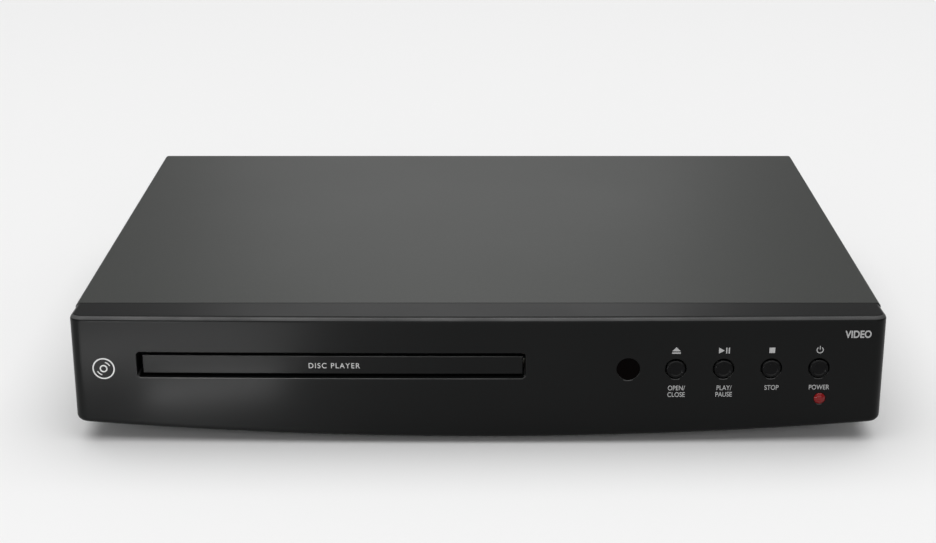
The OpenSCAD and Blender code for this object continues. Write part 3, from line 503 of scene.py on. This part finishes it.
# ---------------------------------------------------------------- front moulding
HALF_W = 142.5
TOP_Z = 47.5
SMILE_RADIUS = 1882.9
CLEAR_Z = 7.7
SMILE = 5.4
SLOT = (-119.3, 16.5, 25.1, 34.4)   # left, right, bottom and top of the tray's opening
WALL = 2.4
SIDE_STEP = 0.4               # the moulding is this much narrower where it meets the cover
SIDE_RADIUS = 4.5
RIM_RADIUS = 2.0
COLLAR = 1.6                  # the collar inside the wall stands this far round the slot
BEHIND = -100.0               # plane behind the wall where the cutting tools end
AHEAD = -115.0                # plane in front of it where they begin
BUTTON_HOLE = 3.7
WINDOW_HOLE = 4.05
WINDOW_X = 52.4
LIGHT_HOLE = 2.05
LIGHT_X = 120.0
LIGHT_Z = 17.0
FRONT_COLUMNS = 51            # keeps every column edge clear of the slot's and holes' rims


def low_edge(x):
    """Height of the front's lower edge, which sinks towards the middle, in metres."""
    drop = SMILE_RADIUS - math.sqrt(SMILE_RADIUS ** 2 - (x / MM) ** 2)
    return (CLEAR_Z - SMILE + drop) * MM


def bowed_block():
    """A solid with the plan's bow in front and the sinking lower edge, open towards the cover."""
    nothing_selected()
    bpy.ops.mesh.primitive_grid_add(x_subdivisions=FRONT_COLUMNS, y_subdivisions=1, size=2)
    piece = bpy.context.object
    for v in piece.data.vertices:
        ahead = v.co.y < 0
        x = v.co.x * (HALF_W - (0 if ahead else SIDE_STEP)) * MM
        v.co = (x, face_y(x) if ahead else SEAM_Y, TOP_Z * MM)
    only(piece)
    bpy.ops.object.mode_set(mode="EDIT")
    bpy.ops.mesh.select_all(action="SELECT")
    bpy.ops.mesh.extrude_region_move(TRANSFORM_OT_translate={"value": (0, 0, -30 * MM)})
    bpy.ops.mesh.select_all(action="SELECT")
    bpy.ops.mesh.normals_make_consistent(inside=False)
    done()
    for v in piece.data.vertices:
        if v.co.z < 40 * MM:
            v.co.z = low_edge(v.co.x)
    return piece


def front_moulding():
    piece = bowed_block()
    piece.name = "front_moulding"
    pick(piece, faces=lambda f: f.normal.y > 0.9)
    bpy.ops.mesh.delete(type="FACE")
    done()
    ends = (HALF_W - 2) * MM
    pick(piece, edges=lambda e: abs(e.verts[0].co.z - e.verts[1].co.z) > 20 * MM
         and abs(e.verts[0].co.x) > ends and e.verts[0].co.y < -100 * MM)
    bpy.ops.mesh.bevel(offset=SIDE_RADIUS * MM, segments=8, affect="EDGES")
    done()
    apply_modifier(piece, "SOLIDIFY", thickness=WALL * MM, offset=-1, use_even_offset=True)

    def rim(e, up):
        if len(e.link_faces) != 2 or any(f.normal.y > 0.9 for f in e.link_faces):
            return False
        level = sorted(e.link_faces, key=lambda f: -f.normal.z * up)
        outer = level[0].normal.z * up > 0.9 and abs(level[1].normal.z) < 0.3
        return outer and (e.verts[0].co.z > 47 * MM if up > 0 else e.verts[0].co.z < 9 * MM)

    pick(piece, edges=lambda e: rim(e, 1))
    bpy.ops.mesh.bevel(offset=RIM_RADIUS * MM, segments=7, affect="EDGES")
    done()
    pick(piece, edges=lambda e: rim(e, -1))
    bpy.ops.mesh.bevel(offset=RIM_RADIUS * MM, segments=5, affect="EDGES")
    done()
    x0, x1, z0, z1 = SLOT
    collar = block(x0 - COLLAR, x1 + COLLAR, -107.3, BEHIND, z0 - COLLAR, z1 + COLLAR)
    combine(piece, [collar], "UNION")
    mouth = block(x0, x1, AHEAD, BEHIND + 3, z0, z1)
    pick(mouth, edges=lambda e: abs(e.verts[0].co.y - e.verts[1].co.y) > 10 * MM)
    bpy.ops.mesh.bevel(offset=1.2 * MM, segments=5, affect="EDGES")
    done()
    holes = [rod_y(x, CONTROL_Z, BUTTON_HOLE, AHEAD, BEHIND) for x in BUTTON_X]
    holes.append(rod_y(WINDOW_X, CONTROL_Z, WINDOW_HOLE, AHEAD, BEHIND))
    holes.append(rod_y(LIGHT_X, LIGHT_Z, LIGHT_HOLE, AHEAD, BEHIND, sides=32))
    combine(piece, [mouth] + holes, "DIFFERENCE")

    def mouth_rim(e):
        if len(e.link_faces) != 2:
            return False
        front = [f for f in e.link_faces if f.normal.y < -0.95]
        inside = [f for f in e.link_faces if abs(f.normal.y) < 0.3]
        level = 13 * MM < e.verts[0].co.z < 36 * MM
        return bool(front and inside) and level and e.verts[0].co.y < -106.8 * MM

    pick(piece, edges=mouth_rim)
    bpy.ops.mesh.bevel(offset=0.35 * MM, segments=2, affect="EDGES", loop_slide=False)
    done()
    rounded(piece)
    piece.data.materials.append(FINISH["front_plastic"])
    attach(piece, "base")
    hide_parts("front_bezel")


# ---------------------------------------------------------------- buttons
def button_cap():
    """One button, its flange behind the wall and a shallow dish in its cap, drawn towards +Z."""
    nothing_selected()
    bpy.ops.mesh.primitive_cylinder_add(vertices=56, radius=4.6 * MM, depth=1.7 * MM,
                                        location=(0, 0, 0.85 * MM))
    piece = bpy.context.object
    settle(piece)
    pick(piece, faces=lambda f: f.normal.z > 0.9)
    bpy.ops.mesh.inset(thickness=1.4 * MM)
    bpy.ops.mesh.extrude_region_move(TRANSFORM_OT_translate={"value": (0, 0, 3.15 * MM)})
    bpy.ops.mesh.inset(thickness=0.35 * MM)
    bpy.ops.transform.translate(value=(0, 0, 0.25 * MM))
    bpy.ops.mesh.inset(thickness=0.45 * MM)
    bpy.ops.mesh.inset(thickness=0.3 * MM)
    bpy.ops.transform.translate(value=(0, 0, -0.22 * MM))
    bpy.ops.mesh.inset(thickness=0.9 * MM)
    bpy.ops.transform.translate(value=(0, 0, -0.08 * MM))
    done()
    pick(piece, edges=lambda e: all(v.co.z > 4.6 * MM for v in e.verts) and len(e.link_faces) == 2
         and e.calc_face_angle() > math.radians(12))
    bpy.ops.mesh.bevel(offset=0.12 * MM, segments=3, affect="EDGES")
    done()
    return piece


def buttons():
    first = button_cap()
    for x, body in zip(BUTTON_X, ("eject", "play", "stop", "power")):
        piece = first.copy()
        piece.data = first.data.copy()
        piece.name = body + "_cap"
        bpy.context.scene.collection.objects.link(piece)
        origin = face_y(x * MM) + 4.5 * MM
        for v in piece.data.vertices:
            if v.co.z < 0.1 * MM:
                v.co.z = origin - PLUNGER_Y
        piece.rotation_euler = (math.radians(90), 0, 0)
        piece.location = (x * MM, origin, CONTROL_Z * MM)
        settle(piece)
        rounded(piece, 40)
        piece.data.materials.append(FINISH["button_plastic"])
        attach(piece, body)
        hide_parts(body + "_button")
    bpy.data.objects.remove(first, do_unlink=True)


# ---------------------------------------------------------------- tray door and feet
def door_panel():
    """The door strip on the tray, bowed as the front is and soft at its edges."""
    x0, x1, z0, z1 = -117.5, 15.7, 26.1, 32.9
    nothing_selected()
    bpy.ops.mesh.primitive_grid_add(x_subdivisions=30, y_subdivisions=1, size=2)
    piece = bpy.context.object
    piece.name = "door_panel"
    for v in piece.data.vertices:
        x = (x0 + (v.co.x + 1) / 2 * (x1 - x0)) * MM
        v.co = (x, face_y(x) + DOOR_INSET * MM if v.co.y < 0 else -105.0 * MM, z1 * MM)
    only(piece)
    bpy.ops.object.mode_set(mode="EDIT")
    bpy.ops.mesh.select_all(action="SELECT")
    bpy.ops.mesh.extrude_region_move(TRANSFORM_OT_translate={"value": (0, 0, (z0 - z1) * MM)})
    bpy.ops.mesh.select_all(action="SELECT")
    bpy.ops.mesh.normals_make_consistent(inside=False)
    done()
    pick(piece, edges=lambda e: len(e.link_faces) == 2 and e.calc_face_angle() > math.radians(60)
         and all(v.co.y < -105.5 * MM for v in e.verts))
    bpy.ops.mesh.bevel(offset=0.45 * MM, segments=4, affect="EDGES", loop_slide=False)
    done()
    rounded(piece)
    piece.data.materials.append(FINISH["front_plastic"])
    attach(piece, "tray")
    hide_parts("tray_door")


def rubber_foot():
    """One moulded foot at the origin: a drafted cup with a ringed sole."""
    nothing_selected()
    bpy.ops.mesh.primitive_cylinder_add(vertices=64, radius=10 * MM, depth=7.5 * MM,
                                        location=(0, 0, 3.75 * MM))
    piece = bpy.context.object
    settle(piece)
    pick(piece, faces=lambda f: f.normal.z < -0.9)
    bpy.ops.transform.resize(value=(0.93, 0.93, 1), center_override=(0, 0, 0))
    for thickness, lift in ((1.6, 0.0), (0.5, 0.6), (1.4, 0.0), (0.5, -0.4), (1.0, 0.0), (0.5, 0.6)):
        bpy.ops.mesh.inset(thickness=thickness * MM)
        bpy.ops.transform.translate(value=(0, 0, lift * MM))
    done()
    pick(piece, edges=lambda e: len(e.link_faces) == 2 and e.calc_face_angle() > math.radians(35)
         and all(v.co.z < 5 * MM for v in e.verts))
    bpy.ops.mesh.bevel(offset=0.2 * MM, segments=2, affect="EDGES", loop_slide=False)
    done()
    return piece


def feet():
    first = rubber_foot()
    for name in ("foot_front_left", "foot_front_right", "foot_rear_left", "foot_rear_right"):
        low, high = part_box(name)
        piece = first.copy()
        piece.data = first.data.copy()
        piece.name = name + "_rubber"
        bpy.context.scene.collection.objects.link(piece)
        piece.location = ((low[0] + high[0]) / 2, (low[1] + high[1]) / 2, 0)
        settle(piece)
        rounded(piece)
        piece.data.materials.append(FINISH["foot_rubber"])
        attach(piece, "base")
        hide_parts(name)
    bpy.data.objects.remove(first, do_unlink=True)


front_moulding()
buttons()
door_panel()
feet()


# ---------------------------------------------------------------- printed marks
INK = 0.03 * MM


def stand_on_front(piece, x, z, proud):
    """Turn a flat mark upright against the bowed front, its middle at x and z in millimetres."""
    lean = math.atan(x * MM / BOW_RADIUS)
    piece.rotation_euler = (math.radians(90), 0, lean)
    piece.location = (x * MM, face_y(x * MM) + proud, z * MM)
    settle(piece)


def lettering(name, words, height, x, z, proud=-INK, spread=1.0, wide=1.0, weight=0.003):
    """A printed word, its capitals the given height in millimetres."""
    nothing_selected()
    bpy.ops.object.text_add()
    text = bpy.context.object
    text.name = name
    text.data.body = words
    text.data.align_x = "CENTER"
    text.data.align_y = "CENTER"
    text.data.size = height / 0.7 * MM
    text.data.space_character = spread
    text.data.extrude = INK
    text.data.offset = weight * height * MM
    text.scale = (wide, 1, 1)
    bpy.ops.object.convert(target="MESH")
    mark = bpy.context.object
    stand_on_front(mark, x, z, proud)
    return mark


def flat_shape(name, outline, x, z):
    """A printed shape from corners in millimetres, as thin as ink."""
    nothing_selected()
    bpy.ops.mesh.primitive_plane_add(size=1)
    mark = bpy.context.object
    mark.name = name
    mesh = bmesh.new()
    ring = [mesh.verts.new((u * MM, v * MM, -INK)) for u, v in outline]
    low = mesh.faces.new(ring)
    grown = bmesh.ops.extrude_face_region(mesh, geom=[low])
    tops = [g for g in grown["geom"] if isinstance(g, bmesh.types.BMVert)]
    bmesh.ops.translate(mesh, vec=(0, 0, 2 * INK), verts=tops)
    bmesh.ops.recalc_face_normals(mesh, faces=mesh.faces)
    mesh.to_mesh(mark.data)
    mesh.free()
    stand_on_front(mark, x, z, -INK)
    return mark


def circle_line(radius, width, start=0.0, end=360.0, steps=40):
    """Outline of a ring, or of a part of one, as a closed strip of corners."""
    outer, inner = [], []
    for i in range(steps + 1):
        a = math.radians(start + (end - start) * i / steps)
        outer.append(((radius + width / 2) * math.cos(a), (radius + width / 2) * math.sin(a)))
        inner.append(((radius - width / 2) * math.cos(a), (radius - width / 2) * math.sin(a)))
    return outer + inner[::-1]


def joined(name, marks):
    """Make one piece of several marks."""
    nothing_selected()
    for mark in marks:
        mark.select_set(True)
    bpy.context.view_layer.objects.active = marks[0]
    bpy.ops.object.join()
    piece = bpy.context.object
    piece.name = name
    return piece


def printed(piece, body, mat=PRINT):
    """Give a mark its ink and let it ride on a body."""
    piece.data.materials.clear()
    piece.data.materials.append(mat)
    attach(piece, body)


def button_icons():
    eject, play, stop, power = BUTTON_X
    marks = [
        flat_shape("eject_arrow", [(-1.5, -0.2), (1.5, -0.2), (0, 1.3)], eject, ICON_Z),
        flat_shape("eject_line", [(-1.5, -1.1), (1.5, -1.1), (1.5, -0.6), (-1.5, -0.6)], eject, ICON_Z),
        flat_shape("play_arrow", [(-1.9, -1.1), (0.1, 0), (-1.9, 1.1)], play, ICON_Z),
        flat_shape("pause_first", [(0.6, -1.1), (1.0, -1.1), (1.0, 1.1), (0.6, 1.1)], play, ICON_Z),
        flat_shape("pause_second", [(1.5, -1.1), (1.9, -1.1), (1.9, 1.1), (1.5, 1.1)], play, ICON_Z),
        flat_shape("stop_square", [(-1.0, -1.0), (1.0, -1.0), (1.0, 1.0), (-1.0, 1.0)], stop, ICON_Z),
        flat_shape("power_ring", circle_line(1.1, 0.3, 125, 415), power, ICON_Z),
        flat_shape("power_line", [(-0.15, 0.2), (0.15, 0.2), (0.15, 1.5), (-0.15, 1.5)], power, ICON_Z),
    ]
    printed(joined("button_icons", marks), "base")


def button_words():
    marks = []
    rows = (("OPEN/", "CLOSE"), ("PLAY/", "PAUSE"), ("STOP",), ("POWER",))
    for x, words in zip(BUTTON_X, rows):
        for i, word in enumerate(words):
            z = LABEL_Z - i * LABEL_DROP
            marks.append(lettering("word", word, 1.75, x + LABEL_SHIFT, z, wide=0.84))
    printed(joined("button_words", marks), "base")


def door_words():
    mark = lettering("door_words", "DISC PLAYER", 1.95, -50.4, 29.2, proud=DOOR_INSET * MM - INK,
                     spread=1.22, wide=0.94)
    printed(mark, "tray")


def format_word():
    mark = lettering("format_word", "VIDEO", 2.6, 132.2, 40.9, wide=0.84, weight=0.035)
    printed(mark, "base")


def disc_emblem():
    x, z = -131.0, 28.2
    marks = [
        flat_shape("disc_rim", circle_line(3.7, 0.45), x, z),
        flat_shape("disc_hub", circle_line(1.15, 0.45), x, z),
        flat_shape("disc_glint", circle_line(2.4, 0.35, 25, 75, steps=12), x, z),
        flat_shape("disc_glint_low", circle_line(2.4, 0.35, 205, 255, steps=12), x, z),
    ]
    printed(joined("disc_emblem", marks), "base")


def stand_on_panel(piece, x, z):
    """Turn a flat mark upright against the rear panel, to be read from behind."""
    piece.rotation_euler = (math.radians(90), 0, math.radians(180))
    piece.location = (x * MM, PANEL_FACE * MM, z * MM)
    settle(piece)


def panel_lettering(words, height, x, z):
    nothing_selected()
    bpy.ops.object.text_add()
    text = bpy.context.object
    text.data.body = words
    text.data.align_x = "CENTER"
    text.data.align_y = "CENTER"
    text.data.size = height / 0.7 * MM
    text.data.extrude = INK
    bpy.ops.object.convert(target="MESH")
    mark = bpy.context.object
    stand_on_panel(mark, x, z)
    return mark


def panel_line(x0, x1, z0, z1):
    return block(x0, x1, PANEL_FACE - 0.03, PANEL_FACE + 0.03, z0, z1)


def panel_words():
    """Plain function words by the sockets, with a bracket over each group."""
    marks = [
        panel_lettering("VIDEO", 1.8, JACK_X[0], 18.4),
        panel_lettering("L", 1.8, JACK_X[1], 18.4),
        panel_lettering("R", 1.8, JACK_X[2], 18.4),
        panel_lettering("DIGITAL", 1.8, JACK_X[3], 18.4),
        panel_lettering("AUDIO / VIDEO OUT", 2.0, (JACK_X[0] + JACK_X[3]) / 2, 36.2),
        panel_lettering("VIDEO OUT", 1.8, 35.0, 26.0),
        panel_lettering("AC IN ~", 2.2, 121.0, 36.2),
        panel_line(JACK_X[0] - 6, JACK_X[3] + 6, 33.4, 33.7),
        panel_line(JACK_X[0] - 6, JACK_X[0] - 5.7, 31.4, 33.5),
        panel_line(JACK_X[3] + 5.7, JACK_X[3] + 6, 31.4, 33.5),
        panel_line(27.0, 43.0, 23.7, 24.0),
    ]
    piece = joined("panel_words", marks)
    printed(piece, "base", DARK_PRINT)


panel_words()
button_icons()
button_words()
door_words()
format_word()
disc_emblem()


# ---------------------------------------------------------------- studio
def studio_floor():
    nothing_selected()
    bpy.ops.mesh.primitive_plane_add(size=14, location=(0, 1.0, 0))
    floor = bpy.context.object
    floor.name = "studio_floor"
    mat = bpy.data.materials.new("pale_floor")
    mat.use_nodes = True
    shader = mat.node_tree.nodes["Principled BSDF"]
    shader.inputs["Base Color"].default_value = (0.86, 0.86, 0.86, 1)
    shader.inputs["Roughness"].default_value = 0.9
    shader.inputs["Specular IOR Level"].default_value = 0.0
    floor.data.materials.append(mat)
    return floor


def soft_light(name, place, aim, width, height, power, floor_dark=None):
    """A soft rectangular lamp; one that only models the object leaves the floor dark."""
    data = bpy.data.lights.new(name, "AREA")
    data.shape = "RECTANGLE"
    data.size = width
    data.size_y = height
    data.energy = power
    lamp = bpy.data.objects.new(name, data)
    bpy.context.scene.collection.objects.link(lamp)
    lamp.location = place
    lamp.rotation_euler = (Vector(aim) - Vector(place)).to_track_quat("-Z", "Y").to_euler()
    lamp.visible_camera = False
    if floor_dark:
        left_out = bpy.data.collections.new(name + "_receivers")
        left_out.objects.link(floor_dark)
        left_out.collection_objects[0].light_linking.link_state = "EXCLUDE"
        lamp.light_linking.receiver_collection = left_out


def studio(floor):
    world = bpy.data.worlds.new("studio_air")
    bpy.context.scene.world = world
    world.use_nodes = True
    air = world.node_tree.nodes["Background"]
    air.inputs["Color"].default_value = (1, 1, 1, 1)
    air.inputs["Strength"].default_value = 0.3
    soft_light("overhead", (0, 0.1, 3.0), (0, 0.1, 0), 5.0, 5.0, 119)
    soft_light("front_fill", (0, -2.0, 0.7), (0, -0.1, 0.02), 2.5, 0.9, 10)
    soft_light("rear_softbox", (-0.02, 1.25, 0.55), (0, 0, 0.03), 0.55, 0.45, 0.74, floor_dark=floor)
    soft_light("edge_strip", (-0.05, -0.24, 0.85), (-0.03, -0.107, 0.046), 0.5, 0.1, 2.2, floor_dark=floor)
    soft_light("left_panel", (-0.19, -0.42, 0.012), (-0.12, -0.107, 0.016), 0.1, 0.018, 0.35,
               floor_dark=floor)
    soft_light("low_strip", (-0.13, -0.19, 0.006), (-0.1, -0.107, 0.014), 0.12, 0.01, 0.045,
               floor_dark=floor)
    soft_light("low_spot", (-0.1, -0.15, 0.004), (-0.085, -0.107, 0.014), 0.05, 0.006, 0.014,
               floor_dark=floor)
    settings = bpy.context.scene.view_settings
    settings.view_transform = "Standard"
    settings.look = "None"


def camera():
    data = bpy.data.cameras.new("camera")
    data.sensor_width = 36
    data.lens = 69.41
    data.shift_x = -0.0112
    data.clip_start = 0.05
    data.clip_end = 20
    cam = bpy.data.objects.new("camera", data)
    bpy.context.scene.collection.objects.link(cam)
    cam.location = (0.0001, -0.6928, 0.2669)
    look_down = 19.11
    cam.rotation_euler = (math.radians(90 - look_down), 0, 0)
    bpy.context.scene.camera = cam


studio(studio_floor())
camera()
